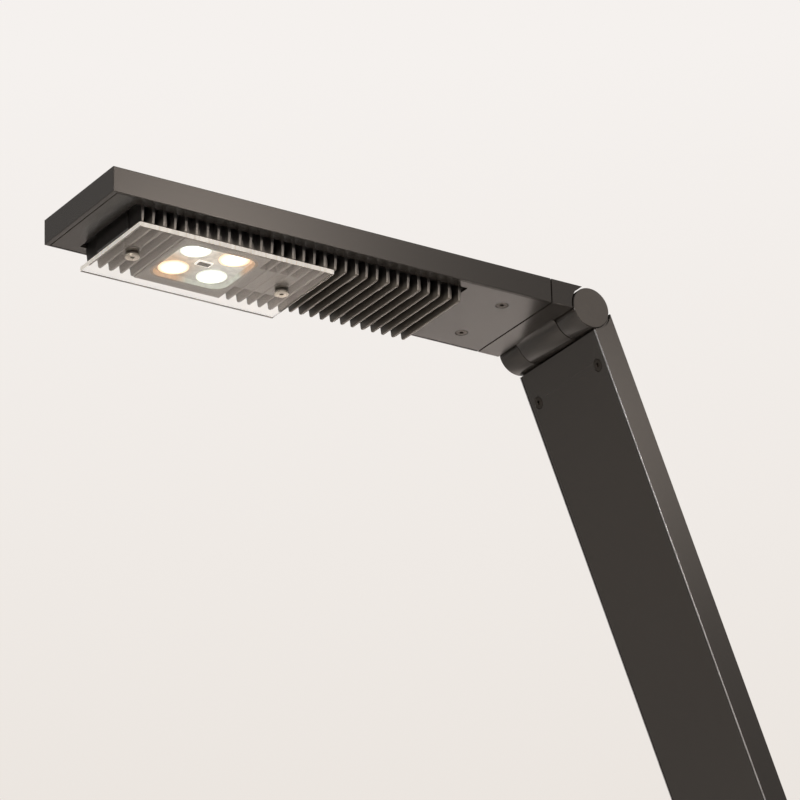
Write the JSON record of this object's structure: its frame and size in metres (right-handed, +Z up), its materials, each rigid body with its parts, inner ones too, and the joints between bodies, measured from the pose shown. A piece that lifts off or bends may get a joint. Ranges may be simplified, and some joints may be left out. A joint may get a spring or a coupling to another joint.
{
  "type": "piano lamp",
  "caption": "Table-top piano lamp: a flat head with a finned underside and four lenses on a flat swing arm, over a turntable and a weighted base with buttons.",
  "frame": {"origin": "middle of the base's underside, on the table", "axes": "+Z up; the head reaches towards -X and the base's back, with the power inlet, faces +X; the hinge axes lie along Y"},
  "size_m": [0.5533, 0.2, 0.4286],
  "materials": {
    "dark_anodised_aluminium": "satin dark anodised, warm grey-brown",
    "dark_cast_aluminium": "satin dark coat on a fine casting",
    "black_cast_aluminium": "matt black coat on a die casting",
    "black_steel": "black oxide",
    "bright_steel": "bright turned",
    "black_nylon": "matt moulded",
    "white_circuit_board": "white solder mask",
    "green_circuit_board": "green solder mask",
    "cool_white_light": "phosphor under silicone",
    "warm_white_light": "phosphor under silicone",
    "lens_acrylic": "polished clear",
    "clear_acrylic": "polished clear",
    "lead_insulation": "soft matt",
    "dark_rubber": "matt",
    "raw_cast_iron": "rough as cast",
    "button_plastic": "satin moulded"
  },
  "bodies": {
    "head": {"head_shell": "dark_anodised_aluminium", "head_cover": "dark_anodised_aluminium", "head_cover_screws": "black_steel", "heat_sink": "black_cast_aluminium", "led_board": "white_circuit_board", "cool_leds": "cool_white_light", "warm_leds": "warm_white_light", "lens_array": "lens_acrylic", "lens_clip": "black_nylon", "glare_plate": "clear_acrylic", "glare_plate_screws": "bright_steel", "glare_plate_spacers": "black_nylon", "head_hinge_block": "dark_cast_aluminium", "head_leads": "lead_insulation", "elbow_washers": "black_nylon"},
    "arm": {"elbow_fork": "dark_cast_aluminium", "elbow_axle": "bright_steel", "elbow_nut": "bright_steel", "elbow_end_caps": "dark_anodised_aluminium", "arm_shell": "dark_anodised_aluminium", "arm_cover": "dark_anodised_aluminium", "arm_cover_screws": "black_steel", "arm_leads": "lead_insulation", "arm_hinge_block": "dark_cast_aluminium", "shoulder_washers": "black_nylon"},
    "turret": {"turret": "dark_cast_aluminium", "shoulder_axle": "bright_steel", "shoulder_nut": "bright_steel", "shoulder_end_caps": "dark_anodised_aluminium", "swivel_spindle": "bright_steel", "swivel_nut": "bright_steel", "swivel_washer": "bright_steel", "swivel_stop_pin": "bright_steel"},
    "base": {"base_housing": "dark_cast_aluminium", "base_plate": "bright_steel", "base_plate_screws": "black_steel", "base_pad": "dark_rubber", "ballast_weight": "raw_cast_iron", "swivel_bush": "black_nylon", "swivel_glide_ring": "black_nylon", "control_board": "green_circuit_board", "tactile_switches": "black_nylon", "driver_board": "green_circuit_board", "dc_inlet": "black_nylon", "base_leads": "lead_insulation"},
    "warmth_button": {"warmth_button": "button_plastic"},
    "power_button": {"power_button": "button_plastic"},
    "brightness_button": {"brightness_button": "button_plastic"}
  },
  "joints": [
    {"name": "base_swivel", "type": "hinge", "parent": "base", "child": "turret", "pos_m": [0.05, 0, 0.0176], "axis": [0, 0, 1], "range_deg": [-90, 90]},
    {"name": "shoulder_tilt", "type": "hinge", "parent": "turret", "child": "arm", "pos_m": [0.05, 0, 0.0416], "axis": [0, -1, 0], "range_deg": [-36, 34]},
    {"name": "elbow_tilt", "type": "hinge", "parent": "arm", "child": "head", "pos_m": [-0.09269, 0, 0.41528], "axis": [0, 1, 0], "range_deg": [-80, 65]},
    {"name": "warmth_press", "type": "slide", "parent": "base", "child": "warmth_button", "axis": [0, 0, -1], "range_m": [0, 0.001], "stiffness_N_per_m": 800, "springref_m": -0.0008},
    {"name": "power_press", "type": "slide", "parent": "base", "child": "power_button", "axis": [0, 0, -1], "range_m": [0, 0.001], "stiffness_N_per_m": 800, "springref_m": -0.0008},
    {"name": "brightness_press", "type": "slide", "parent": "base", "child": "brightness_button", "axis": [0, 0, -1], "range_m": [0, 0.001], "stiffness_N_per_m": 800, "springref_m": -0.0008}
  ]
}
